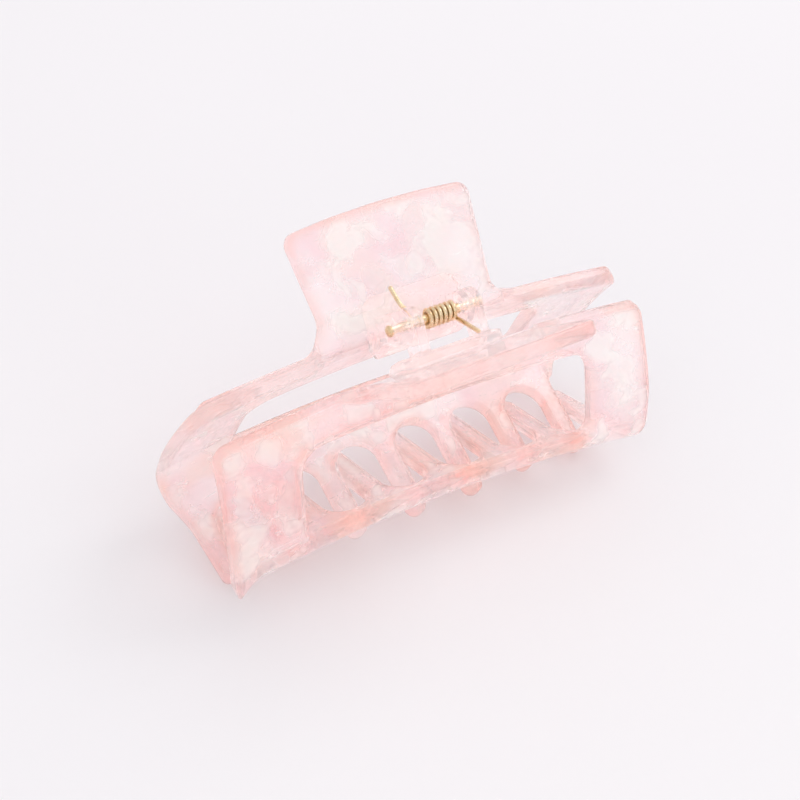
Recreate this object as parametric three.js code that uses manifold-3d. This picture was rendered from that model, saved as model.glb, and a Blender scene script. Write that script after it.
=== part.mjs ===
// Claw clip: two bent acetate jaws, two clear hinge brackets, a pin and a torsion spring.
// Millimetres. X runs along the hinge pin, +Z is up, and the two end tines stand on z = 0.
import * as THREE from "three";
import { mergeVertices } from "three/addons/utils/BufferGeometryUtils.js";
import Module from "manifold-3d";

const wasm = await Module();
wasm.setup();

// ---- sheet -------------------------------------------------------------------------------
const SHEET = 3.2;
const REST_LIFT = 9.65;
const ARCH_SAG = 5.0;
const ARCH_HALF = 50.0;

// ---- bend path of a jaw, seen from the end: y across the clip, z up, s along the sheet -----
const WALL_RADIUS = 98.4;
const WALL_CENTRE = new THREE.Vector2(-81.29, -13.95);
const WALL_START = THREE.MathUtils.degToRad(13.5);
const FOLD_RADIUS = 5.4;
const FOLD_ANGLE = THREE.MathUtils.degToRad(83.8);
const FOLD_LENGTH = FOLD_RADIUS * FOLD_ANGLE;
const FOLD_EASES_FROM = 41.7;
const FOLD_EASES_TO = 50.0;
const FOLD_LEAST = 0.2;
const BEND_RADIUS = 4.5;
const BEND_START = 29.72;
const BEND_END_SLOPE = THREE.MathUtils.degToRad(-45);
const BEND_EDGE_INNER = 19.0;
const BEND_EDGE_OUTER = 25.0;
const BEND_EDGE_FLAT = 33.5;
const BEND_EDGE_FULL = 38.0;

// ---- flat outline of a jaw: x along the clip, s up the sheet -------------------------------
// The two ends are lists of corners [x, s, radius]: the plain one upwards, the tine one downwards.
const SHOULDER_S = 35.0;
const PLAIN_END = [[44.6, -2.7, 0], [48.2, 0.0, 2.0], [49.6, 4.4, 3.0], [50.2, 15.0, 0], [51.1, 35.0, 2.6]];
const TINE_END = [[-49.5, 35.2, 3.0], [-50.4, 22.6, 0], [-51.0, 15.0, 0], [-50.5, 6.0, 0], [-49.2, 0.0, 3.0]];
const TINE_END_ROOT = [[-47.4, -6.2, 0], [-46.7, -13.9, 0]];
const HANDLE_BASE_LEFT = -19.0;
const HANDLE_BASE_RIGHT = 19.6;
const HANDLE_FILLET_LEFT = 4.5;
const HANDLE_FILLET_RIGHT = 1.8;
const HANDLE_TIP_LEFT = -22.1;
const HANDLE_TIP_RIGHT = 20.7;
const HANDLE_TIP_S = 57.2;
const HANDLE_CROWN = 1.2;
const CROWN_BESIDE = 0.75;
const HANDLE_CORNER = 3.0;
const WINDOW_LEFT = -35.0;
const WINDOW_RIGHT = 33.8;
const WINDOW_LOW_S = 7.4;
const WINDOW_HIGH_S = 26.9;
const WINDOW_LOW_CORNER = 3.4;
const WINDOW_HIGH_CORNER = 4.6;
const TINE_PITCH = 14.06;
const TINE_WIDTH = 4.4;
const TINE_FIRST = -30.84;
const TINE_LENGTHS = [20.6, 22.8, 23.3, 23.3, 21.8, 20.9];
const TINE_CORNER = 2.1;
const END_TINE_LENGTH = 20.05;
const END_TINE_OUTER = -46.2;
const END_TINE_INNER = -42.6;
const END_TINE_CORNER = 1.7;
const REAR_SLOT_TOP_S = -4.1;
const FRONT_SLOT_TOP_S = -1.5;
const LAST_SLOT_TOP_S = -3.4;
const LAST_SLOT_CORNER = 1.6;
const SLOT_FLAT = 0.2;
const CORNER_STEPS = 3;

// ---- hinge: the knuckles are spans [from, to] along the pin, the front ones before its half turn ----
const PIN_Z = 40.7;
const PIN_RADIUS = 1.0;
const PIN_HALF = 10.9;
const PIN_DOME = 0.5;
const DOME_SHOULDER_RADIUS = 0.6;
const DOME_SHOULDER_DROP = 0.2;
const PIN_HEAD_RADIUS = 1.2;
const PIN_HEAD_X = -10.0;
const PIN_SIDES = 24;
const BORE_RADIUS = 1.1;
const GLUE_GAP = 0.3;
const PLATE = 2.0;
const BORE_PAST_PLATE = 1.0;
const PLATE_HALF = 11.0;
const PLATE_LOW_S = 31.2;
const PLATE_HIGH_S = 41.0;
const PLATE_HIGH_CORNER = 3.0;
const PLATE_LOW_CORNER = 1.5;
const KNUCKLE_RADIUS = 3.4;
const KNUCKLE_SIDES = 24;
const WEB_HALF = 2.9;
const WEB_REACH = 6.9;
const REAR_KNUCKLES = [[-9.9, -6.5], [5.7, 7.6]];
const FRONT_KNUCKLES = [[4.0, 6.2], [-9.8, -7.9]];

// ---- spring: each leg is a list of points [x, y, z], from the coil to its tip ---------------
const WIRE_RADIUS = 0.45;
const WIRE_SIDES = 6;
const COIL_RADIUS = 1.62;
const COIL_LEFT = -1.9;
const COIL_RIGHT = 4.85;
const COIL_TURNS = 7;
const COIL_STEPS = 12;
const REAR_LEG_SLOPE = THREE.MathUtils.degToRad(20.7);
const FRONT_LEG_SLOPE = THREE.MathUtils.degToRad(19.0);
const REAR_LEG = [[-3.0, 3.3, 40.15], [-4.6, 4.8, 41.3], [-4.7, 9.0, 42.5]];
const FRONT_LEG = [[4.95, -4.6, 40.65], [5.05, -8.2, 41.9]];

// ---- facets ----------------------------------------------------------------------------
const FOLD_CUTS = 4;
const BEND_CUTS = 3;
const WALL_CUTS = [18.5];
const LENGTH_CUTS = [-38, -25, -19, -9, 9, 19, 25, 38, 42.5, 45.0, 47.5];
const SHEET_REACH = 90.0;
const CELL_DEPTHS = 3;
const SNAP = 1e-4;
const WELD = 1e-4;

const ACETATE = { color: 0xf3cdc9, roughness: 0.16, metalness: 0.0 };
const CLEAR = { color: 0xf4e6dc, roughness: 0.12, metalness: 0.0 };
const GOLD = { color: 0xc9a468, roughness: 0.28, metalness: 1.0 };

const smooth = THREE.MathUtils.smoothstep;
const wallDirection = (angle) => new THREE.Vector2(Math.cos(angle), Math.sin(angle));

// Place and outward slope on the wall, the fold below it and the straight tines.
// The fold eases towards the plain end, so that the end hangs almost straight down.
function wallPath(s, x) {
  const foldTop = WALL_CENTRE.clone().addScaledVector(wallDirection(WALL_START), WALL_RADIUS);
  if (s >= FOLD_LENGTH) {
    const angle = WALL_START + (s - FOLD_LENGTH) / WALL_RADIUS;
    return { at: WALL_CENTRE.clone().addScaledVector(wallDirection(angle), WALL_RADIUS), angle };
  }
  const share = 1 - (1 - FOLD_LEAST) * smooth(x, FOLD_EASES_FROM, FOLD_EASES_TO);
  const radius = FOLD_RADIUS / share;
  const angle = WALL_START - (FOLD_LENGTH - Math.max(s, 0)) / radius;
  const centre = foldTop.addScaledVector(wallDirection(WALL_START), -radius);
  const at = centre.addScaledVector(wallDirection(angle), radius);
  const along = Math.min(s, 0);
  at.x -= along * Math.sin(angle);
  at.y += along * Math.cos(angle);
  return { at, angle };
}

// Place and outward slope on the bend and the straight handle above it.
function handlePath(s, x) {
  const start = wallPath(BEND_START, x);
  if (s <= BEND_START) {
    return wallPath(s, x);
  }
  const length = (start.angle - BEND_END_SLOPE) * BEND_RADIUS;
  const turned = Math.min(s - BEND_START, length);
  const angle = start.angle - turned / BEND_RADIUS;
  const centre = start.at.clone().addScaledVector(wallDirection(start.angle), BEND_RADIUS);
  const at = centre.addScaledVector(wallDirection(angle), -BEND_RADIUS);
  const along = s - BEND_START - turned;
  at.x -= along * Math.sin(angle);
  at.y += along * Math.cos(angle);
  return { at, angle };
}

// Bends a point of the flat sheet: x along the clip, s up the sheet, n out of its outer face.
function bent(x, s, n) {
  const beside = smooth(Math.abs(x), BEND_EDGE_INNER, BEND_EDGE_OUTER);
  const share = 1 - beside * (1 - smooth(s, BEND_EDGE_FLAT, BEND_EDGE_FULL));
  const wall = wallPath(s, x);
  const handle = handlePath(s, x);
  const angle = THREE.MathUtils.lerp(wall.angle, handle.angle, share);
  const at = wall.at.lerp(handle.at, share).addScaledVector(wallDirection(angle), n);
  const arched = 1 - share * smooth(s, BEND_START, BEND_EDGE_FULL);
  const drop = ARCH_SAG * (x / ARCH_HALF) ** 2 * arched;
  return new THREE.Vector3(x, at.x, at.y - drop);
}

// Rounds the corners of a closed outline given as [x, s, radius] in order.
function roundedOutline(corners) {
  const points = [];
  corners.forEach(([x, s, radius], index) => {
    const corner = new THREE.Vector2(x, s);
    const before = new THREE.Vector2(...corners.at(index - 1).slice(0, 2)).sub(corner).normalize();
    const after = new THREE.Vector2(...corners[(index + 1) % corners.length].slice(0, 2));
    after.sub(corner).normalize();
    const half = Math.acos(THREE.MathUtils.clamp(before.dot(after), -1, 1)) / 2;
    if (radius === 0) {
      points.push(corner);
      return;
    }
    const reach = radius / Math.tan(half);
    const centre = corner.clone();
    centre.addScaledVector(before.clone().add(after).normalize(), radius / Math.sin(half));
    const from = corner.clone().addScaledVector(before, reach).sub(centre).angle();
    const to = corner.clone().addScaledVector(after, reach).sub(centre).angle();
    const turn = THREE.MathUtils.euclideanModulo(to - from + Math.PI, 2 * Math.PI) - Math.PI;
    for (let step = 0; step <= CORNER_STEPS; step += 1) {
      const angle = from + (turn * step) / CORNER_STEPS;
      points.push(centre.clone().addScaledVector(wallDirection(angle), radius));
    }
  });
  return points;
}

// A block that covers one cell of the flat sheet and reaches past both of its faces.
function cellBlock(left, right, low, high, depth) {
  const block = new THREE.BoxGeometry(right - left, high - low, depth * CELL_DEPTHS);
  block.translate((left + right) / 2, (low + high) / 2, depth / 2);
  return toSolid(block);
}

// The skin of a flat sheet in triangles that never cross a bend line: cells without their cut faces.
function cellTriangles(plate, columns, rows, depth) {
  const triangles = [];
  const onLine = (triangle, axis, level) => {
    return triangle.every((point) => Math.abs(point[axis] - level) < SNAP);
  };
  for (let column = 1; column < columns.length; column += 1) {
    for (let row = 1; row < rows.length; row += 1) {
      const [left, right] = columns.slice(column - 1, column + 1);
      const [low, high] = rows.slice(row - 1, row + 1);
      const cell = toGeometry(plate.intersect(cellBlock(left, right, low, high, depth)));
      const places = cell.getAttribute("position");
      for (let index = 0; index < cell.index.count; index += 3) {
        const triangle = [0, 1, 2].map((step) => {
          return new THREE.Vector3().fromBufferAttribute(places, cell.index.getX(index + step));
        });
        const cutFace = [left, right].some((level) => onLine(triangle, "x", level))
          || [low, high].some((level) => onLine(triangle, "y", level));
        if (!cutFace) triangles.push(triangle);
      }
    }
  }
  return triangles;
}

// A piece of sheet between two depths, cut from its flat outline and bent to the jaw's path.
function bentSheet(shape, low, high) {
  const depth = high - low;
  const plate = toSolid(new THREE.ExtrudeGeometry(shape, { depth, bevelEnabled: false }));
  const bendLength = (wallPath(BEND_START, 0).angle - BEND_END_SLOPE) * BEND_RADIUS;
  const rows = [-SHEET_REACH, ...WALL_CUTS, SHEET_REACH];
  for (let step = 0; step <= FOLD_CUTS; step += 1) rows.push((FOLD_LENGTH * step) / FOLD_CUTS);
  for (let step = 0; step <= BEND_CUTS; step += 1) {
    rows.push(BEND_START + (bendLength * step) / BEND_CUTS);
  }
  rows.sort((a, b) => a - b);
  const columns = [-SHEET_REACH, ...LENGTH_CUTS, SHEET_REACH];
  const positions = [];
  for (const [a, b, c] of cellTriangles(plate, columns, rows, depth)) {
    for (const point of [a, c, b]) {
      positions.push(...bent(point.x, point.y, low + point.z).toArray());
    }
  }
  const solid = new THREE.BufferGeometry();
  solid.setAttribute("position", new THREE.Float32BufferAttribute(positions, 3));
  return mergeVertices(solid, WELD);
}

// Flat outline of one jaw: tines along the bottom, handle on top, window through the wall.
function jawShape(slotTop) {
  const corners = [
    [END_TINE_OUTER, -END_TINE_LENGTH, END_TINE_CORNER],
    [END_TINE_INNER, -END_TINE_LENGTH, END_TINE_CORNER],
  ];
  let edge = END_TINE_INNER;
  TINE_LENGTHS.forEach((length, index) => {
    const left = TINE_FIRST + index * TINE_PITCH - TINE_WIDTH / 2;
    const right = left + TINE_WIDTH;
    const slotCorner = (left - edge) / 2 - SLOT_FLAT;
    corners.push([edge, slotTop, slotCorner], [left, slotTop, slotCorner]);
    corners.push([left, -length, TINE_CORNER], [right, -length, TINE_CORNER]);
    edge = right;
  });
  const handleMiddle = (HANDLE_TIP_LEFT + HANDLE_TIP_RIGHT) / 2;
  corners.push(
    [edge, LAST_SLOT_TOP_S, LAST_SLOT_CORNER],
    ...PLAIN_END,
    [HANDLE_BASE_RIGHT, SHOULDER_S, HANDLE_FILLET_RIGHT],
    [HANDLE_TIP_RIGHT, HANDLE_TIP_S, HANDLE_CORNER],
    [(handleMiddle + HANDLE_TIP_RIGHT) / 2, HANDLE_TIP_S + CROWN_BESIDE * HANDLE_CROWN, 0],
    [handleMiddle, HANDLE_TIP_S + HANDLE_CROWN, 0],
    [(handleMiddle + HANDLE_TIP_LEFT) / 2, HANDLE_TIP_S + CROWN_BESIDE * HANDLE_CROWN, 0],
    [HANDLE_TIP_LEFT, HANDLE_TIP_S, HANDLE_CORNER],
    [HANDLE_BASE_LEFT, SHOULDER_S, HANDLE_FILLET_LEFT],
    ...TINE_END,
    ...TINE_END_ROOT,
  );
  const shape = new THREE.Shape(roundedOutline(corners));
  shape.holes.push(new THREE.Path(roundedOutline([
    [WINDOW_LEFT, WINDOW_LOW_S, WINDOW_LOW_CORNER],
    [WINDOW_LEFT, WINDOW_HIGH_S, WINDOW_HIGH_CORNER],
    [WINDOW_RIGHT, WINDOW_HIGH_S, WINDOW_HIGH_CORNER],
    [WINDOW_RIGHT, WINDOW_LOW_S, WINDOW_LOW_CORNER],
  ])));
  return shape;
}

function toSolid(geometry) {
  const plain = geometry.clone();
  plain.deleteAttribute("normal");
  plain.deleteAttribute("uv");
  const welded = mergeVertices(plain, WELD);
  return new wasm.Manifold(new wasm.Mesh({
    numProp: 3,
    vertProperties: new Float32Array(welded.getAttribute("position").array),
    triVerts: new Uint32Array(welded.index.array),
  }));
}

function toGeometry(solid) {
  const mesh = solid.getMesh();
  const geometry = new THREE.BufferGeometry();
  geometry.setAttribute("position", new THREE.BufferAttribute(mesh.vertProperties, 3));
  geometry.setIndex(new THREE.BufferAttribute(mesh.triVerts, 1));
  return geometry;
}

// A cylinder along the pin's axis.
function alongPin(radius, left, right, sides) {
  const geometry = new THREE.CylinderGeometry(radius, radius, right - left, sides);
  geometry.rotateZ(Math.PI / 2);
  geometry.translate((left + right) / 2, 0, PIN_Z);
  return geometry;
}

// The web that carries one knuckle from the bracket's plate to the pin.
function knuckleWeb(left, right) {
  const geometry = new THREE.BoxGeometry(right - left, WEB_HALF * 2, WEB_REACH);
  geometry.translate((left + right) / 2, 0, -WEB_REACH / 2);
  geometry.rotateX(-BEND_END_SLOPE);
  geometry.translate(0, 0, PIN_Z);
  return geometry;
}

// Clear bracket: a plate that follows the inside of the handle, with two knuckles on it.
function bracketGeometry(knuckles) {
  const plate = new THREE.Shape(roundedOutline([
    [-PLATE_HALF, PLATE_LOW_S, PLATE_LOW_CORNER],
    [PLATE_HALF, PLATE_LOW_S, PLATE_LOW_CORNER],
    [PLATE_HALF, PLATE_HIGH_S, PLATE_HIGH_CORNER],
    [-PLATE_HALF, PLATE_HIGH_S, PLATE_HIGH_CORNER],
  ]));
  const face = -SHEET / 2 - GLUE_GAP;
  let solid = toSolid(bentSheet(plate, face - PLATE, face));
  for (const [left, right] of knuckles) {
    solid = solid.add(toSolid(knuckleWeb(left, right)));
    solid = solid.add(toSolid(alongPin(KNUCKLE_RADIUS, left, right, KNUCKLE_SIDES)));
  }
  const boreHalf = PLATE_HALF + BORE_PAST_PLATE;
  const bore = alongPin(BORE_RADIUS, -boreHalf, boreHalf, PIN_SIDES);
  return toGeometry(solid.subtract(toSolid(bore)));
}

// Pin with a low domed head on the left and a domed plain end on the right.
function pinGeometry() {
  const profile = [
    [0, -PIN_HALF],
    [PIN_HEAD_RADIUS * DOME_SHOULDER_RADIUS, -PIN_HALF + PIN_DOME * DOME_SHOULDER_DROP],
    [PIN_HEAD_RADIUS, -PIN_HALF + PIN_DOME],
    [PIN_HEAD_RADIUS, PIN_HEAD_X],
    [PIN_RADIUS, PIN_HEAD_X],
    [PIN_RADIUS, PIN_HALF - PIN_DOME],
    [PIN_RADIUS * DOME_SHOULDER_RADIUS, PIN_HALF - PIN_DOME * DOME_SHOULDER_DROP],
    [0, PIN_HALF],
  ].map(([radius, along]) => new THREE.Vector2(radius, along));
  const geometry = new THREE.LatheGeometry(profile, PIN_SIDES);
  geometry.rotateZ(-Math.PI / 2);
  geometry.translate(0, 0, PIN_Z);
  return toGeometry(toSolid(geometry));
}

// Torsion spring: a leg on the rear bracket, a close coil on the pin, a leg on the front bracket.
function springGeometry() {
  const points = [...REAR_LEG].reverse().map((place) => new THREE.Vector3(...place));
  const from = -Math.PI / 2 + REAR_LEG_SLOPE;
  const to = -Math.PI / 2 - FRONT_LEG_SLOPE - 2 * Math.PI * (COIL_TURNS - 1);
  const steps = COIL_TURNS * COIL_STEPS;
  for (let step = 0; step <= steps; step += 1) {
    const share = step / steps;
    const angle = THREE.MathUtils.lerp(from, to, share);
    const x = THREE.MathUtils.lerp(COIL_LEFT, COIL_RIGHT, share);
    const ring = wallDirection(angle).multiplyScalar(COIL_RADIUS);
    points.push(new THREE.Vector3(x, ring.x, PIN_Z + ring.y));
  }
  points.push(...FRONT_LEG.map((place) => new THREE.Vector3(...place)));
  const wire = new THREE.Shape();
  wire.absarc(0, 0, WIRE_RADIUS, 0, 2 * Math.PI);
  return new THREE.ExtrudeGeometry(wire, {
    steps: points.length + COIL_STEPS,
    curveSegments: WIRE_SIDES / 2,
    bevelEnabled: false,
    extrudePath: new THREE.CatmullRomCurve3(points),
  });
}

const clip = new THREE.Group();
clip.name = "claw_clip";

function addPiece(name, geometry, look) {
  geometry.translate(0, 0, REST_LIFT);
  geometry.computeVertexNormals();
  const mesh = new THREE.Mesh(geometry, new THREE.MeshStandardMaterial(look));
  mesh.name = name;
  clip.add(mesh);
}

const rearJaw = bentSheet(jawShape(REAR_SLOT_TOP_S), -SHEET / 2, SHEET / 2);
const frontJaw = bentSheet(jawShape(FRONT_SLOT_TOP_S), -SHEET / 2, SHEET / 2);
addPiece("rear_jaw", rearJaw, ACETATE);
addPiece("front_jaw", frontJaw.rotateZ(Math.PI), ACETATE);
addPiece("rear_hinge_bracket", bracketGeometry(REAR_KNUCKLES), CLEAR);
addPiece("front_hinge_bracket", bracketGeometry(FRONT_KNUCKLES).rotateZ(Math.PI), CLEAR);
addPiece("hinge_pin", pinGeometry(), GOLD);
addPiece("torsion_spring", springGeometry(), GOLD);

export default clip;
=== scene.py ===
"""Claw clip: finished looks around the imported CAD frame. Blender 4.5, metres, +Z up."""
import math

import bmesh
import bpy
import numpy as np
from mathutils import Matrix, Vector
from mathutils.geometry import delaunay_2d_cdt


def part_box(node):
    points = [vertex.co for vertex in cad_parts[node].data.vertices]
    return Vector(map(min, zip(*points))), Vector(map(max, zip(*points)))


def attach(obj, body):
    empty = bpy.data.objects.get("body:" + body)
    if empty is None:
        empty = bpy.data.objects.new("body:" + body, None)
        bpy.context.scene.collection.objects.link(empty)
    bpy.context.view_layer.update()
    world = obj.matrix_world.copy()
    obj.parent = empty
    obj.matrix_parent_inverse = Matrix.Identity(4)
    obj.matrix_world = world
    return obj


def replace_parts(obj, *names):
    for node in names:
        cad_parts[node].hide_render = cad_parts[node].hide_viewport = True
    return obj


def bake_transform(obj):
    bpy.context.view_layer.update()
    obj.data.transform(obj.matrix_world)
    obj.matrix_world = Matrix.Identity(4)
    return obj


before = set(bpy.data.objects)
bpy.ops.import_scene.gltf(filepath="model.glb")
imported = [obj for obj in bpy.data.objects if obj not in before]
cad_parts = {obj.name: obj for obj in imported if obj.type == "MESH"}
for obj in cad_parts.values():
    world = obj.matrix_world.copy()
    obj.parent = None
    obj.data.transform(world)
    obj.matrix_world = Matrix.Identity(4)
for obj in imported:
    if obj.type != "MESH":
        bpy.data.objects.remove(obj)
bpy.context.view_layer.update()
MM = 0.001

# ---- places taken from the frame, in millimetres -------------------------------------------------
PIN_LOW, PIN_HIGH = (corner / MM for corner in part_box("hinge_pin"))
PIN_CENTRE = (PIN_LOW + PIN_HIGH) / 2
PIN_Z = 40.7
REST_LIFT = PIN_CENTRE.z - PIN_Z

# ---- the sheet and the path it is bent along: y across, z up, s along the sheet ------------------
SHEET = 3.2
EDGE_ROUND = 0.85
EDGE_STEPS = 4
ARCH_SAG = 5.0
ARCH_HALF = 50.0
WALL_RADIUS = 98.4
WALL_CENTRE = np.array([-81.29, -13.95])
WALL_START = math.radians(13.5)
FOLD_RADIUS = 5.4
FOLD_ANGLE = math.radians(83.8)
FOLD_LENGTH = FOLD_RADIUS * FOLD_ANGLE
FOLD_EASES = (41.7, 50.0)
FOLD_LEAST = 0.2
BEND_RADIUS = 4.5
BEND_START = 29.72
BEND_END_SLOPE = math.radians(-45)
BEND_EDGE = (19.0, 25.0)
BEND_RISE = (33.5, 38.0)

# ---- flat outline of a jaw: x along the clip, s up the sheet -------------------------------------
# The two ends are corners (x, s, radius): the plain one upwards, the tine one downwards.
# Pairs are left and right; the window is left, right, low and high.
PLAIN_END = ((44.6, -2.7, 8.0), (48.2, 0.0, 4.5), (49.6, 4.4, 6.0), (50.2, 15.0, 60.0), (51.1, 35.0, 2.6))
TINE_END = ((-49.5, 35.2, 3.0), (-50.4, 22.6, 40.0), (-51.0, 15.0, 40.0), (-50.5, 6.0, 30.0))
TINE_END_ROOT = ((-49.2, 0.0, 4.0), (-47.4, -6.2, 20.0), (-46.7, -13.9, 30.0))
SHOULDER_S = 35.0
HANDLE_FILLETS = (4.5, 1.8)
HANDLE_BASE = (-19.0, 19.6)
HANDLE_TIP = (-22.1, 20.7)
HANDLE_TIP_S = 57.2
HANDLE_CROWN = 1.2
CROWN_BESIDE = 0.75
CROWN_CORNER = 60.0
HANDLE_CORNER = 2.8
WINDOW = (-35.0, 33.8, 7.4, 26.9)
WINDOW_CORNERS = (3.4, 4.6)
TINE_PITCH = 14.06
TINE_WIDTH = 4.4
TINE_CORNER = 2.15
TINE_FIRST = -30.84
TINE_LENGTHS = (20.6, 22.8, 23.3, 23.3, 21.8, 20.9)
END_TINE = (-46.2, -42.6, 20.05)
END_TINE_CORNER = 1.75
SLOT_FLAT = 0.02
LAST_SLOT = (-3.4, 1.6)
SLOT_TOPS = {"rear_jaw_sheet": -4.1, "front_jaw_sheet": -1.5}

# ---- how finely the sheets are drawn -------------------------------------------------------------
OUTLINE_STEP = 0.7
CORNER_SHARE = 0.6
FACE_STEP = 1.25
BORDER_GAP = 0.6
SAME_PLACE = 1e-4
TOUCHING = 1e-5
LEAST_SPREAD = 0.5
WELD = 2e-3
FACE_WEIGHT = 80
HALF_TURN = np.array([-1.0, -1.0, 1.0])
RIM_BAND = (0.2, 1.7)
FOLD_RISES = (-2.5, 2.0)
FOLD_FALLS = (5.0, 9.5)

# ---- brackets, spring and pin --------------------------------------------------------------------
BRACKET_VOXEL = 0.17
BRACKET_SOFTEN = 0.5
BRACKET_PASSES = 8
WIRE_RADIUS = 0.45
WIRE_SIDES = 14
WIRE_DOMES = (0.05, 0.4, 0.75)
WIRE_DOME_DEPTH = 0.6
COIL_RADIUS = 1.62
COIL_X = (-1.9, 4.85)
COIL_TURNS = 7
COIL_STEPS = 40
LEG_STEP = 0.35
REAR_LEG_SLOPE = math.radians(20.7)
FRONT_LEG_SLOPE = math.radians(19.0)
REAR_LEG = ((-3.0, 3.3, 40.15), (-4.6, 4.8, 41.3), (-4.7, 9.0, 42.5))
FRONT_LEG = ((4.95, -4.6, 40.65), (5.05, -8.2, 41.9))
PIN_RADIUS = 1.0
PIN_HALF = 10.9
PIN_HEAD_RADIUS = 1.2
PIN_HEAD_X = -10.0
PIN_HEAD_DOME = 0.62
PIN_HEAD_CHAMFER = 0.1
PIN_DOME = 0.5
PIN_DOME_STEPS = 6
PIN_SIDES = 40
PIN_WELD = 1e-3
# Lengths of the pin inside the clear knuckles, painted near white as painted glints (a painted reflection of
# the bore), and how softly they fade in.
PIN_PAINTED_GLINTS = ((-9.9, -4.0), (5.7, 10.9))
PAINTED_GLINT_FADE = 0.15

# ---- colours -------------------------------------------------------------------------------------
ACETATE_PALE = (0.97, 0.855, 0.86)
ACETATE_ROSY = (0.93, 0.69, 0.715)
ACETATE_PEACH = (0.98, 0.79, 0.74)
ACETATE_PEARL = (0.975, 0.935, 0.90)
ACETATE_FLECK = (1.0, 0.98, 0.96)
ACETATE_RIM = (0.97, 0.54, 0.47)
ACETATE_FOLD = (0.98, 0.60, 0.46)
PLASTIC_PALE = (0.99, 0.92, 0.91)
PLASTIC_WARM = (0.98, 0.87, 0.855)
GOLD_LIGHT = (0.90, 0.74, 0.50)
GOLD_DARK = (0.76, 0.56, 0.33)
GOLD_GLINT = (0.96, 0.93, 0.90)
PAPER_SHADED = (0.945, 0.93, 0.945)
PAPER_LIT = (0.965, 0.955, 0.965)
WORLD_TINT = (0.97, 0.955, 0.975)
WORLD_STRENGTH = 0.87
EVEN_SCALE = (1000.0, 1000.0, 1000.0)

# ---- camera, floor and lamps, in metres; lens and sensor in millimetres --------------------------
VIEW_AZIMUTH = math.radians(39.82)
VIEW_ELEVATION = math.radians(44.90)
VIEW_ROLL = math.radians(10.71)
VIEW_DISTANCE = 0.47767
VIEW_LENS = 107.07
VIEW_SENSOR = 36.0
VIEW_NEAR = 0.01
VIEW_TARGET = Vector((-0.00441, 0.0, 0.01914 + REST_LIFT * MM))
FLOOR_HALF = 3.0
LAMP_TARGET = Vector((0.0, 0.0, 0.02))
# Each lamp: name, place, size, power in watts and tint.
LAMPS = (
    ("key", (0.80, 0.10, 1.00), 0.70, 2.4, (1.0, 0.98, 0.97)),
    ("fill", (-0.70, -0.60, 0.90), 0.90, 0.8, (0.98, 0.97, 1.0)),
)


def smooth(value, low, high):
    share = np.clip((value - low) / (high - low), 0.0, 1.0)
    return share * share * (3.0 - 2.0 * share)


def direction(angle):
    return np.stack([np.cos(angle), np.sin(angle)], axis=-1)


# ---- bending -------------------------------------------------------------------------------------
def wall_path(s, x):
    """Places and outward angles on the wall, on the fold below it and on the straight tines."""
    fold_top = WALL_CENTRE + WALL_RADIUS * direction(np.asarray(WALL_START))
    wall_angle = WALL_START + (s - FOLD_LENGTH) / WALL_RADIUS
    wall_at = WALL_CENTRE + WALL_RADIUS * direction(wall_angle)
    radius = FOLD_RADIUS / (1.0 - (1.0 - FOLD_LEAST) * smooth(x, *FOLD_EASES))
    fold_angle = WALL_START - (FOLD_LENGTH - np.clip(s, 0.0, FOLD_LENGTH)) / radius
    centre = fold_top - radius[:, None] * direction(np.full_like(s, WALL_START))
    fold_at = centre + radius[:, None] * direction(fold_angle)
    tangent = np.stack([-np.sin(fold_angle), np.cos(fold_angle)], axis=-1)
    fold_at = fold_at + np.minimum(s, 0.0)[:, None] * tangent
    on_wall = s >= FOLD_LENGTH
    angle = np.where(on_wall, wall_angle, fold_angle)
    return np.where(on_wall[:, None], wall_at, fold_at), angle


def handle_path(s, x):
    """Places and outward angles where the sheet turns out into a straight handle."""
    start_at, start_angle = wall_path(np.full_like(s, BEND_START), x)
    length = (start_angle - BEND_END_SLOPE) * BEND_RADIUS
    turned = np.clip(s - BEND_START, 0.0, length)
    angle = start_angle - turned / BEND_RADIUS
    centre = start_at + BEND_RADIUS * direction(start_angle)
    tangent = np.stack([-np.sin(angle), np.cos(angle)], axis=-1)
    at = centre - BEND_RADIUS * direction(angle)
    at = at + (s - BEND_START - turned)[:, None] * tangent
    wall_at, wall_angle = wall_path(s, x)
    above = s > BEND_START
    return np.where(above[:, None], at, wall_at), np.where(above, angle, wall_angle)


def bent(points):
    """Bends flat sheet points (x, s, n), n out of the outer face, to their places in the clip."""
    x, s, n = points.T
    beside = smooth(np.abs(x), *BEND_EDGE)
    share = 1.0 - beside * (1.0 - smooth(s, *BEND_RISE))
    wall_at, wall_angle = wall_path(s, x)
    handle_at, handle_angle = handle_path(s, x)
    angle = wall_angle + share * (handle_angle - wall_angle)
    at = wall_at + share[:, None] * (handle_at - wall_at) + n[:, None] * direction(angle)
    arched = 1.0 - share * smooth(s, BEND_START, BEND_RISE[1])
    drop = ARCH_SAG * (x / ARCH_HALF) ** 2 * arched
    return np.stack([x, at[:, 0], at[:, 1] - drop + REST_LIFT], axis=-1)


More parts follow.
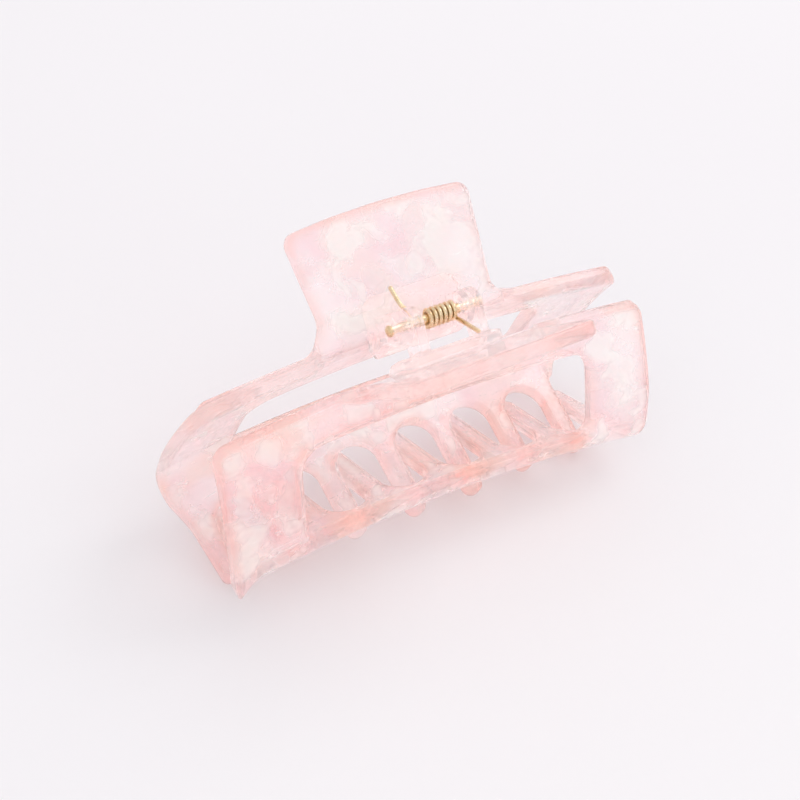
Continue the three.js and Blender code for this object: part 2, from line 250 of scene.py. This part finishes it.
# ---- flat sheet meshes ---------------------------------------------------------------------------
def rounded(corners):
    """A closed outline from [x, s, radius] corners, rounded and evenly stepped."""
    knots = []
    count = len(corners)
    for index, (x, s, radius) in enumerate(corners):
        corner = np.array([x, s])
        before = np.array(corners[index - 1][:2]) - corner
        after = np.array(corners[(index + 1) % count][:2]) - corner
        before /= np.linalg.norm(before)
        after /= np.linalg.norm(after)
        half = math.acos(float(np.clip(before @ after, -1.0, 1.0))) / 2
        reach = radius / math.tan(half)
        middle = before + after
        centre = corner + middle / np.linalg.norm(middle) * radius / math.sin(half)
        first = corner + before * reach - centre
        last = corner + after * reach - centre
        start = math.atan2(first[1], first[0])
        turn = (math.atan2(last[1], last[0]) - start + math.pi) % (2 * math.pi) - math.pi
        steps = max(2, round(abs(turn) * radius / (CORNER_SHARE * OUTLINE_STEP)))
        for part in range(steps + 1):
            knots.append(centre + radius * direction(np.asarray(start + turn * part / steps)))
    outline = []
    for index, knot in enumerate(knots):
        following = knots[(index + 1) % len(knots)]
        length = float(np.linalg.norm(following - knot))
        parts = max(1, round(length / OUTLINE_STEP)) if length > SAME_PLACE else 0
        for part in range(parts):
            outline.append(knot + (following - knot) * part / parts)
    return np.array(outline)


def inset(outline, distance):
    """The outline moved to its left, into the sheet's material."""
    after = np.roll(outline, -1, axis=0) - outline
    before = outline - np.roll(outline, 1, axis=0)
    after /= np.linalg.norm(after, axis=1, keepdims=True)
    before /= np.linalg.norm(before, axis=1, keepdims=True)
    along = after + before
    along /= np.linalg.norm(along, axis=1, keepdims=True)
    left = np.stack([-along[:, 1], along[:, 0]], axis=-1)
    spread = np.maximum(np.abs((along * after).sum(axis=1, keepdims=True)), LEAST_SPREAD)
    return outline + left * distance / spread


def inside(points, outlines):
    """Which points lie in the material, by crossings of all the outlines."""
    crossings = np.zeros(len(points), int)
    for outline in outlines:
        for a, b in zip(outline, np.roll(outline, -1, axis=0)):
            if a[1] == b[1]:
                continue
            between = (a[1] > points[:, 1]) != (b[1] > points[:, 1])
            cross_x = a[0] + (points[:, 1] - a[1]) * (b[0] - a[0]) / (b[1] - a[1])
            crossings += between & (points[:, 0] < cross_x)
    return crossings % 2 == 1


def face_triangles(rings):
    """Even triangles that fill the sheet's face between its inset outlines."""
    low = np.min([ring.min(axis=0) for ring in rings], axis=0)
    high = np.max([ring.max(axis=0) for ring in rings], axis=0)
    half = FACE_STEP / 2
    rows = np.arange(low[1] + half, high[1], FACE_STEP * math.sqrt(0.75))
    columns = np.arange(low[0] + half, high[0], FACE_STEP)
    lattice = np.array([(x + (row % 2) * half, s) for row, s in enumerate(rows) for x in columns])
    lattice = lattice[inside(lattice, rings)]
    border = np.concatenate(rings)
    gap = np.min(np.linalg.norm(lattice[:, None] - border[None], axis=2), axis=1)
    lattice = lattice[gap > BORDER_GAP * FACE_STEP]
    edges = []
    first = 0
    for ring in rings:
        count = len(ring)
        edges += [(first + k, first + (k + 1) % count) for k in range(count)]
        first += count
    points = [Vector(p) for p in np.concatenate([border, lattice])]
    places, _, faces, *_ = delaunay_2d_cdt(points, edges, [], 0, TOUCHING)
    places = np.array([tuple(p) for p in places])
    faces = np.array([tuple(f) for f in faces])
    return places, faces[inside(places[faces].mean(axis=1), rings)]


def sheet_mesh(name, outlines, turned):
    """A piece of bent sheet with rounded edges. outlines: the outer one leftwards, holes rightwards."""
    low, high = -SHEET / 2, SHEET / 2
    profile = []
    for k in range(EDGE_STEPS + 1):
        angle = math.pi / 2 * k / EDGE_STEPS
        profile.append((EDGE_ROUND * (1 - math.sin(angle)), EDGE_ROUND * (1 - math.cos(angle))))
    rings = [(d, high - n) for d, n in profile] + [(d, low + n) for d, n in reversed(profile)]
    flat = []
    faces = []
    for outline in outlines:
        count = len(outline)
        first = len(flat)
        for distance, depth in rings:
            flat += [(*p, depth) for p in inset(outline, distance)]
        for ring in range(len(rings) - 1):
            for k in range(count):
                a = first + ring * count + k
                b = first + ring * count + (k + 1) % count
                faces.append((a, b, b + count, a + count))
    places, triangles = face_triangles([inset(o, EDGE_ROUND) for o in outlines])
    for depth, order in ((high, (0, 2, 1)), (low, (0, 1, 2))):
        first = len(flat)
        flat += [(*p, depth) for p in places]
        faces += [tuple(int(first + t[k]) for k in order) for t in triangles]
    flat = np.array(flat)
    solid = bent(flat)
    if turned:
        solid = solid * HALF_TURN
    mesh = bpy.data.meshes.new(name)
    mesh.from_pydata((solid * MM).tolist(), [], faces)
    border = np.concatenate(outlines)
    rim = mesh.attributes.new("rim", "FLOAT", "POINT")
    away = np.array([np.min(np.hypot(*(border - p[:2]).T)) for p in flat])
    rim.data.foreach_set("value", (1.0 - smooth(away, *RIM_BAND)).astype(np.float32))
    fold = mesh.attributes.new("fold", "FLOAT", "POINT")
    on_fold = smooth(flat[:, 1], *FOLD_RISES) * (1.0 - smooth(flat[:, 1], *FOLD_FALLS))
    fold.data.foreach_set("value", on_fold.astype(np.float32))
    work = bmesh.new()
    work.from_mesh(mesh)
    bmesh.ops.remove_doubles(work, verts=work.verts, dist=WELD * MM)
    bmesh.ops.recalc_face_normals(work, faces=work.faces)
    for face in work.faces:
        face.smooth = True
    work.to_mesh(mesh)
    work.free()
    piece = bpy.data.objects.new(name, mesh)
    bpy.context.scene.collection.objects.link(piece)
    weighted = piece.modifiers.new("even_shading", "WEIGHTED_NORMAL")
    weighted.weight = FACE_WEIGHT
    return piece


def jaw_outlines(slot_top):
    """The jaw's flat outline, leftwards round the material, and its window, rightwards."""
    outer, inner, end_length = END_TINE
    corners = [(outer, -end_length, END_TINE_CORNER), (inner, -end_length, END_TINE_CORNER)]
    edge = inner
    for index, length in enumerate(TINE_LENGTHS):
        left = TINE_FIRST + index * TINE_PITCH - TINE_WIDTH / 2
        right = left + TINE_WIDTH
        slot_corner = (left - edge) / 2 - SLOT_FLAT
        corners += [(edge, slot_top, slot_corner), (left, slot_top, slot_corner)]
        corners += [(left, -length, TINE_CORNER), (right, -length, TINE_CORNER)]
        edge = right
    tip_left, tip_right = HANDLE_TIP
    middle = (tip_left + tip_right) / 2
    beside = HANDLE_TIP_S + CROWN_BESIDE * HANDLE_CROWN
    corners += [
        (edge, *LAST_SLOT),
        *PLAIN_END,
        (HANDLE_BASE[1], SHOULDER_S, HANDLE_FILLETS[1]),
        (tip_right, HANDLE_TIP_S, HANDLE_CORNER),
        ((middle + tip_right) / 2, beside, CROWN_CORNER),
        (middle, HANDLE_TIP_S + HANDLE_CROWN, CROWN_CORNER),
        ((middle + tip_left) / 2, beside, CROWN_CORNER),
        (tip_left, HANDLE_TIP_S, HANDLE_CORNER),
        (HANDLE_BASE[0], SHOULDER_S, HANDLE_FILLETS[0]),
        *TINE_END,
        *TINE_END_ROOT,
    ]
    left, right, low, high = WINDOW
    low_corner, high_corner = WINDOW_CORNERS
    window = [
        (left, low, low_corner),
        (left, high, high_corner),
        (right, high, high_corner),
        (right, low, low_corner),
    ]
    return [rounded(corners), rounded(window)]


# ---- node helpers --------------------------------------------------------------------------------
class Shader:
    """A material with a Principled surface, and short calls to add its nodes."""

    def __init__(self, name):
        self.material = bpy.data.materials.new(name)
        self.material.use_nodes = True
        self.tree = self.material.node_tree
        self.surface = next(n for n in self.tree.nodes if n.type == "BSDF_PRINCIPLED")
        coordinates = self.tree.nodes.new("ShaderNodeTexCoord")
        self.place = coordinates.outputs["Object"]

    def link(self, source, target):
        self.tree.links.new(source, target)

    def set(self, values):
        for socket, value in values.items():
            self.surface.inputs[socket].default_value = value

    def feed(self, node, socket, value):
        if isinstance(value, bpy.types.NodeSocket):
            self.link(value, node.inputs[socket])
        else:
            node.inputs[socket].default_value = value

    def scaled(self, scale, offset=(0.0, 0.0, 0.0)):
        node = self.tree.nodes.new("ShaderNodeMapping")
        self.link(self.place, node.inputs["Vector"])
        node.inputs["Scale"].default_value = scale
        node.inputs["Location"].default_value = offset
        return node.outputs["Vector"]

    def noise(self, vector, scale, detail, roughness, distortion=0.0):
        node = self.tree.nodes.new("ShaderNodeTexNoise")
        self.link(vector, node.inputs["Vector"])
        node.inputs["Scale"].default_value = scale
        node.inputs["Detail"].default_value = detail
        node.inputs["Roughness"].default_value = roughness
        node.inputs["Distortion"].default_value = distortion
        return node

    def cells(self, vector, scale, smoothness):
        node = self.tree.nodes.new("ShaderNodeTexVoronoi")
        node.feature = "SMOOTH_F1"
        self.link(vector, node.inputs["Vector"])
        node.inputs["Scale"].default_value = scale
        node.inputs["Smoothness"].default_value = smoothness
        return node

    def ramp(self, source, low, high, start=0.0, end=1.0):
        node = self.tree.nodes.new("ShaderNodeMapRange")
        node.interpolation_type = "SMOOTHSTEP"
        self.link(source, node.inputs["Value"])
        node.inputs["From Min"].default_value = low
        node.inputs["From Max"].default_value = high
        node.inputs["To Min"].default_value = start
        node.inputs["To Max"].default_value = end
        return node.outputs["Result"]

    def maths(self, operation, a, b):
        node = self.tree.nodes.new("ShaderNodeMath")
        node.operation = operation
        self.feed(node, 0, a)
        self.feed(node, 1, b)
        return node.outputs[0]

    def mixed(self, share, a, b):
        node = self.tree.nodes.new("ShaderNodeMix")
        node.data_type = "RGBA"
        self.feed(node, "Factor", share)
        for socket, value in zip([s for s in node.inputs if s.type == "RGBA"], (a, b)):
            if isinstance(value, bpy.types.NodeSocket):
                self.link(value, socket)
            else:
                socket.default_value = (*value, 1.0)
        return next(s for s in node.outputs if s.type == "RGBA")

    def shifted(self, vector, by, amount):
        node = self.tree.nodes.new("ShaderNodeVectorMath")
        node.operation = "MULTIPLY_ADD"
        self.link(by, node.inputs[0])
        node.inputs[1].default_value = (amount, amount, amount)
        self.link(vector, node.inputs[2])
        return node.outputs["Vector"]

    def attribute(self, name):
        node = self.tree.nodes.new("ShaderNodeAttribute")
        node.attribute_name = name
        return node.outputs["Fac"]

    def bump(self, height, strength, distance):
        node = self.tree.nodes.new("ShaderNodeBump")
        node.inputs["Strength"].default_value = strength
        node.inputs["Distance"].default_value = distance
        self.link(height, node.inputs["Height"])
        self.link(node.outputs["Normal"], self.surface.inputs["Normal"])


def acetate(name, offset):
    """Polished marbled acetate: rosy see-through sheet with soft cream clouds, flakes and flecks, and a faint
    painted glow.
    """
    m = Shader(name)
    here = m.scaled(EVEN_SCALE, offset)
    wander = m.noise(here, 0.14, 2.0, 0.5)
    warped = m.shifted(here, wander.outputs["Color"], 6.0)
    clouds = m.noise(warped, 0.11, 3.0, 0.5, 0.3)
    cloud = m.ramp(clouds.outputs["Fac"], 0.47, 0.62)
    chips = m.cells(warped, 0.15, 0.45)
    chip_pick = m.tree.nodes.new("ShaderNodeSeparateColor")
    m.link(chips.outputs["Color"], chip_pick.inputs["Color"])
    chip = m.maths("MULTIPLY", m.ramp(chip_pick.outputs["Red"], 0.62, 0.82),
                   m.ramp(chips.outputs["Distance"], 0.60, 0.25))
    rim = m.attribute("rim")
    face = m.maths("SUBTRACT", 1.0, rim)
    pearl = m.maths("MULTIPLY", m.maths("MAXIMUM", cloud, chip), m.ramp(face, 0.0, 1.0, 0.35, 1.0))
    streak_place = m.scaled((420.0, 1300.0, 900.0), offset)
    streaks = m.noise(streak_place, 0.5, 3.0, 0.6, 0.9)
    fleck = m.maths("MULTIPLY", m.ramp(streaks.outputs["Fac"], 0.64, 0.74), face)
    blush = m.noise(here, 0.08, 2.0, 0.5, 0.5)
    rosy = m.mixed(m.ramp(blush.outputs["Fac"], 0.38, 0.64), ACETATE_PALE, ACETATE_ROSY)
    peach = m.noise(here, 0.07, 2.0, 0.5, 0.3)
    base = m.mixed(m.ramp(peach.outputs["Fac"], 0.50, 0.66, 0.0, 0.7), rosy, ACETATE_PEACH)
    base = m.mixed(m.maths("MULTIPLY", pearl, 0.8), base, ACETATE_PEARL)
    base = m.mixed(m.maths("MULTIPLY", fleck, 0.8), base, ACETATE_FLECK)
    rim_share = m.maths("MULTIPLY", rim, m.ramp(peach.outputs["Fac"], 0.36, 0.60, 0.25, 0.75))
    base = m.mixed(rim_share, base, ACETATE_RIM)
    fold_share = m.maths("MULTIPLY", m.attribute("fold"), m.ramp(peach.outputs["Fac"], 0.46, 0.62, 0.0, 0.7))
    base = m.mixed(fold_share, base, ACETATE_FOLD)
    m.link(base, m.surface.inputs["Base Color"])
    veil = m.maths("MAXIMUM", m.maths("MULTIPLY", pearl, 0.55), m.maths("MULTIPLY", fleck, 0.7))
    clear = m.maths("SUBTRACT", 0.85, m.maths("MULTIPLY", veil, 0.55))
    m.link(clear, m.surface.inputs["Transmission Weight"])
    m.link(m.ramp(clouds.outputs["Fac"], 0.35, 0.65, 0.08, 0.18), m.surface.inputs["Roughness"])
    # Emission in the sheet's own colour is a painted glow. It is painted light that lifts the sheet's shaded
    # inner parts, though the sheet is no lamp.
    m.link(base, m.surface.inputs["Emission Color"])
    m.set({
        "IOR": 1.2,
        "Alpha": 0.74,
        "Coat Weight": 1.0,
        "Coat Roughness": 0.03,
        "Subsurface Weight": 0.35,
        "Subsurface Radius": (1.0, 0.55, 0.5),
        "Subsurface Scale": 0.004,
        # Strength of the painted glow.
        "Emission Strength": 0.09,
    })
    ripple = m.noise(here, 0.3, 2.0, 0.5)
    m.bump(ripple.outputs["Fac"], 0.06, 0.0004)
    return m.material


def clear_plastic(name):
    """Clear moulded plastic, faintly warm, with soft flow marks and a faint painted glow."""
    m = Shader(name)
    here = m.scaled(EVEN_SCALE)
    flow = m.noise(m.scaled((500.0, 1200.0, 1200.0)), 0.3, 3.0, 0.55, 0.8)
    tint = m.mixed(m.ramp(flow.outputs["Fac"], 0.4, 0.65), PLASTIC_PALE, PLASTIC_WARM)
    m.link(tint, m.surface.inputs["Base Color"])
    # Emission in the plastic's own tint is a painted glow, painted light on a part that is no lamp.
    m.link(tint, m.surface.inputs["Emission Color"])
    m.link(m.ramp(flow.outputs["Fac"], 0.35, 0.7, 0.02, 0.06), m.surface.inputs["Roughness"])
    m.set({
        "Transmission Weight": 1.0,
        "IOR": 1.2,
        "Alpha": 0.82,
        "Coat Weight": 0.9,
        "Emission Strength": 0.06,
    })
    m.bump(m.noise(here, 0.5, 2.0, 0.5).outputs["Fac"], 0.2, 0.0003)
    return m.material


def gold(name, scale, painted_glints=()):
    """Drawn gold-coloured metal with fine lengthwise marks. The lengths in its last argument are painted
    patchily near white: painted glints that stand for reflections in the clear bore round them.
    """
    m = Shader(name)
    marks = m.noise(m.scaled(scale), 1.0, 4.0, 0.6)
    tarnish = m.noise(m.scaled(EVEN_SCALE), 0.6, 3.0, 0.6)
    tint = m.mixed(m.ramp(tarnish.outputs["Fac"], 0.40, 0.68), GOLD_LIGHT, GOLD_DARK)
    axes = m.tree.nodes.new("ShaderNodeSeparateXYZ")
    m.link(m.place, axes.inputs["Vector"])
    for low, high in painted_glints:
        above = m.ramp(axes.outputs["X"], (low - PAINTED_GLINT_FADE) * MM, (low + PAINTED_GLINT_FADE) * MM)
        below = m.ramp(axes.outputs["X"], (high + PAINTED_GLINT_FADE) * MM, (high - PAINTED_GLINT_FADE) * MM)
        glint = m.ramp(tarnish.outputs["Fac"], 0.36, 0.60, 1.0, 0.35)
        within = m.maths("MULTIPLY", above, below)
        # Painted glint: within each given length the tint goes patchily toward near white.
        tint = m.mixed(m.maths("MULTIPLY", within, glint), tint, GOLD_GLINT)
    m.link(tint, m.surface.inputs["Base Color"])
    m.set({"Metallic": 1.0})
    m.link(m.ramp(marks.outputs["Fac"], 0.3, 0.7, 0.20, 0.34), m.surface.inputs["Roughness"])
    m.bump(marks.outputs["Fac"], 0.25, 0.00006)
    return m.material


def studio_floor():
    """Seamless pale paper."""
    m = Shader("studio_paper")
    grain = m.noise(m.place, 600.0, 3.0, 0.6)
    wash = m.noise(m.place, 3.0, 2.0, 0.5)
    tint = m.mixed(m.ramp(wash.outputs["Fac"], 0.35, 0.65), PAPER_SHADED, PAPER_LIT)
    m.link(tint, m.surface.inputs["Base Color"])
    m.set({"Roughness": 0.9})
    m.bump(grain.outputs["Fac"], 0.05, 0.0002)
    return m.material


# ---- pieces --------------------------------------------------------------------------------------
def add_jaw(name, body, turned, offset):
    """A jaw; turned: by half a turn about the vertical; offset: shifts its marbling."""
    outlines = jaw_outlines(SLOT_TOPS[name])
    piece = sheet_mesh(name, outlines, turned)
    piece.data.materials.append(acetate(name + "_acetate", offset))
    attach(piece, body)
    return piece


def add_bracket(node, name, body):
    """The moulded bracket: the CAD solid with its edges softened."""
    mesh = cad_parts[node].data.copy()
    mesh.materials.clear()
    mesh.materials.append(clear_plastic(name + "_plastic"))
    piece = bpy.data.objects.new(name, mesh)
    bpy.context.scene.collection.objects.link(piece)
    skin = piece.modifiers.new("one_skin", "REMESH")
    skin.mode = "VOXEL"
    skin.voxel_size = BRACKET_VOXEL * MM
    skin.use_smooth_shade = True
    soft = piece.modifiers.new("soft_edges", "SMOOTH")
    soft.factor = BRACKET_SOFTEN
    soft.iterations = BRACKET_PASSES
    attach(piece, body)
    return piece


def tube(points, radius):
    """Vertices and faces of a round wire with domed ends along a list of points, in millimetres."""
    points = np.array(points, float)
    tangents = np.gradient(points, axis=0)
    tangents /= np.linalg.norm(tangents, axis=1, keepdims=True)
    side = np.cross(tangents[0], (0.0, 0.0, 1.0))
    stations = []
    for dome in WIRE_DOMES:
        stations.append((0, -math.sqrt(1 - dome * dome) * WIRE_DOME_DEPTH, dome))
    stations += [(k, 0.0, 1.0) for k in range(len(points))]
    for dome in reversed(WIRE_DOMES):
        stations.append((len(points) - 1, math.sqrt(1 - dome * dome) * WIRE_DOME_DEPTH, dome))
    verts = []
    for index, beyond, share in stations:
        along = tangents[index]
        side = side - along * (side @ along)
        side /= np.linalg.norm(side)
        up = np.cross(along, side)
        centre = points[index] + along * beyond * radius
        for k in range(WIRE_SIDES):
            angle = 2 * math.pi * k / WIRE_SIDES
            verts.append(centre + radius * share * (math.cos(angle) * side + math.sin(angle) * up))
    faces = []
    rings = len(stations)
    for ring in range(rings - 1):
        for k in range(WIRE_SIDES):
            a = ring * WIRE_SIDES + k
            b = ring * WIRE_SIDES + (k + 1) % WIRE_SIDES
            faces.append((a, b, b + WIRE_SIDES, a + WIRE_SIDES))
    faces.append(tuple(reversed(range(WIRE_SIDES))))
    faces.append(tuple((rings - 1) * WIRE_SIDES + k for k in range(WIRE_SIDES)))
    return verts, faces


def smooth_piece(name, verts, faces, material):
    """A smooth-shaded piece from vertices in millimetres."""
    mesh = bpy.data.meshes.new(name)
    mesh.from_pydata([tuple(float(c) * MM for c in v) for v in verts], [], faces)
    mesh.shade_smooth()
    work = bmesh.new()
    work.from_mesh(mesh)
    bmesh.ops.recalc_face_normals(work, faces=work.faces)
    work.to_mesh(mesh)
    work.free()
    mesh.materials.append(material)
    piece = bpy.data.objects.new(name, mesh)
    bpy.context.scene.collection.objects.link(piece)
    return piece


def eased(points):
    """A curve through given points, evenly stepped."""
    points = [np.array(p, float) for p in points]
    route = []
    for k in range(len(points) - 1):
        a, b = points[k], points[k + 1]
        before = points[k - 1] if k else 2 * a - b
        after = points[k + 2] if k + 2 < len(points) else 2 * b - a
        parts = max(2, round(float(np.linalg.norm(b - a)) / LEG_STEP))
        for part in range(parts):
            t = part / parts
            route.append(0.5 * (2 * a + (b - before) * t + (2 * before - 5 * a + 4 * b - after) * t * t
                                + (3 * a - before - 3 * b + after) * t ** 3))
    route.append(points[-1])
    return route


def add_spring():
    """The torsion spring: a leg under each handle and a close coil round the pin."""
    start = -math.pi / 2 + REAR_LEG_SLOPE
    end = -math.pi / 2 - FRONT_LEG_SLOPE - 2 * math.pi * (COIL_TURNS - 1)
    steps = COIL_TURNS * COIL_STEPS
    coil = []
    for k in range(steps + 1):
        share = k / steps
        angle = start + (end - start) * share
        x = COIL_X[0] + (COIL_X[1] - COIL_X[0]) * share
        coil.append((x, COIL_RADIUS * math.cos(angle), PIN_Z + COIL_RADIUS * math.sin(angle)))
    rear = eased([*reversed(REAR_LEG), coil[0]])[:-1]
    front = eased([coil[-1], *FRONT_LEG])[1:]
    route = np.array([*rear, *coil, *front], float) + np.array([0.0, 0.0, REST_LIFT])
    verts, faces = tube(route, WIRE_RADIUS)
    piece = smooth_piece("spring_wire", verts, faces, gold("spring_gold", (900.0, 3000.0, 3000.0)))
    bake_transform(piece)
    return piece


def add_pin():
    """The pin, turned from a profile of (radius, along) with a low domed head at its left end."""
    profile = [(0.0, -PIN_HALF)]
    for k in range(1, PIN_DOME_STEPS + 1):
        angle = math.pi / 2 * k / PIN_DOME_STEPS
        along = -PIN_HALF + PIN_HEAD_DOME * (1 - math.cos(angle))
        profile.append((PIN_HEAD_RADIUS * math.sin(angle), along))
    profile.append((PIN_HEAD_RADIUS, PIN_HEAD_X - PIN_HEAD_CHAMFER))
    profile.append((PIN_HEAD_RADIUS - PIN_HEAD_CHAMFER, PIN_HEAD_X))
    profile += [(PIN_RADIUS, PIN_HEAD_X), (PIN_RADIUS, PIN_HALF - PIN_DOME)]
    for k in range(1, PIN_DOME_STEPS):
        angle = math.pi / 2 * k / PIN_DOME_STEPS
        along = PIN_HALF - PIN_DOME + PIN_DOME * math.sin(angle)
        profile.append((PIN_RADIUS * math.cos(angle), along))
    profile.append((0.0, PIN_HALF))
    verts = []
    faces = []
    for radius, x in profile:
        for k in range(PIN_SIDES):
            angle = 2 * math.pi * k / PIN_SIDES
            verts.append((x, radius * math.cos(angle), PIN_CENTRE.z + radius * math.sin(angle)))
    for ring in range(len(profile) - 1):
        for k in range(PIN_SIDES):
            a = ring * PIN_SIDES + k
            b = ring * PIN_SIDES + (k + 1) % PIN_SIDES
            faces.append((a, b, b + PIN_SIDES, a + PIN_SIDES))
    piece = smooth_piece("pin_rod", verts, faces, gold("pin_gold", (400.0, 3000.0, 3000.0), PIN_PAINTED_GLINTS))
    work = bmesh.new()
    work.from_mesh(piece.data)
    bmesh.ops.remove_doubles(work, verts=work.verts, dist=PIN_WELD * MM)
    bmesh.ops.recalc_face_normals(work, faces=work.faces)
    work.to_mesh(piece.data)
    work.free()
    piece.modifiers.new("even_shading", "WEIGHTED_NORMAL")
    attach(piece, "rear_half")
    return piece


# ---- camera, floor and lamps ---------------------------------------------------------------------
def add_camera():
    back = Vector((
        -math.sin(VIEW_AZIMUTH) * math.cos(VIEW_ELEVATION),
        -math.cos(VIEW_AZIMUTH) * math.cos(VIEW_ELEVATION),
        math.sin(VIEW_ELEVATION),
    ))
    right = Vector((math.cos(VIEW_AZIMUTH), -math.sin(VIEW_AZIMUTH), 0.0))
    up = back.cross(right)
    turned_right = right * math.cos(VIEW_ROLL) + up * math.sin(VIEW_ROLL)
    turned_up = back.cross(turned_right)
    data = bpy.data.cameras.new("photo_camera")
    data.lens = VIEW_LENS
    data.sensor_width = VIEW_SENSOR
    data.clip_start = VIEW_NEAR
    camera = bpy.data.objects.new("photo_camera", data)
    bpy.context.scene.collection.objects.link(camera)
    axes = Matrix((turned_right, turned_up, back)).transposed().to_4x4()
    camera.matrix_world = Matrix.Translation(VIEW_TARGET + back * VIEW_DISTANCE) @ axes
    bpy.context.scene.camera = camera


def add_floor():
    mesh = bpy.data.meshes.new("studio_floor")
    corners = [(x * FLOOR_HALF, y * FLOOR_HALF, 0) for x, y in ((-1, -1), (1, -1), (1, 1), (-1, 1))]
    mesh.from_pydata(corners, [], [(0, 1, 2, 3)])
    mesh.materials.append(studio_floor())
    floor = bpy.data.objects.new("studio_floor", mesh)
    bpy.context.scene.collection.objects.link(floor)


def add_light(name, place, size, power, tint):
    data = bpy.data.lights.new(name, "AREA")
    data.shape = "DISK"
    data.size = size
    data.energy = power
    data.color = tint
    lamp = bpy.data.objects.new(name, data)
    lamp.location = place
    lamp.rotation_euler = (LAMP_TARGET - Vector(place)).to_track_quat("-Z", "Y").to_euler()
    bpy.context.scene.collection.objects.link(lamp)


def add_world():
    world = bpy.data.worlds.new("studio_world")
    world.use_nodes = True
    background = world.node_tree.nodes["Background"]
    background.inputs["Color"].default_value = (*WORLD_TINT, 1.0)
    background.inputs["Strength"].default_value = WORLD_STRENGTH
    bpy.context.scene.world = world
    bpy.context.scene.view_settings.view_transform = "Standard"


add_camera()
add_floor()
add_world()
for lamp in LAMPS:
    add_light(*lamp)

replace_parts(add_jaw("rear_jaw_sheet", "rear_half", False, (0.0, 0.0, 0.0)), "rear_jaw")
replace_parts(add_jaw("front_jaw_sheet", "front_half", True, (70.0, 40.0, 25.0)), "front_jaw")
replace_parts(add_bracket("rear_hinge_bracket", "rear_bracket_moulding", "rear_half"), "rear_hinge_bracket")
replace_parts(add_bracket("front_hinge_bracket", "front_bracket_moulding", "front_half"), "front_hinge_bracket")
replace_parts(add_pin(), "hinge_pin")
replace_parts(add_spring(), "torsion_spring")
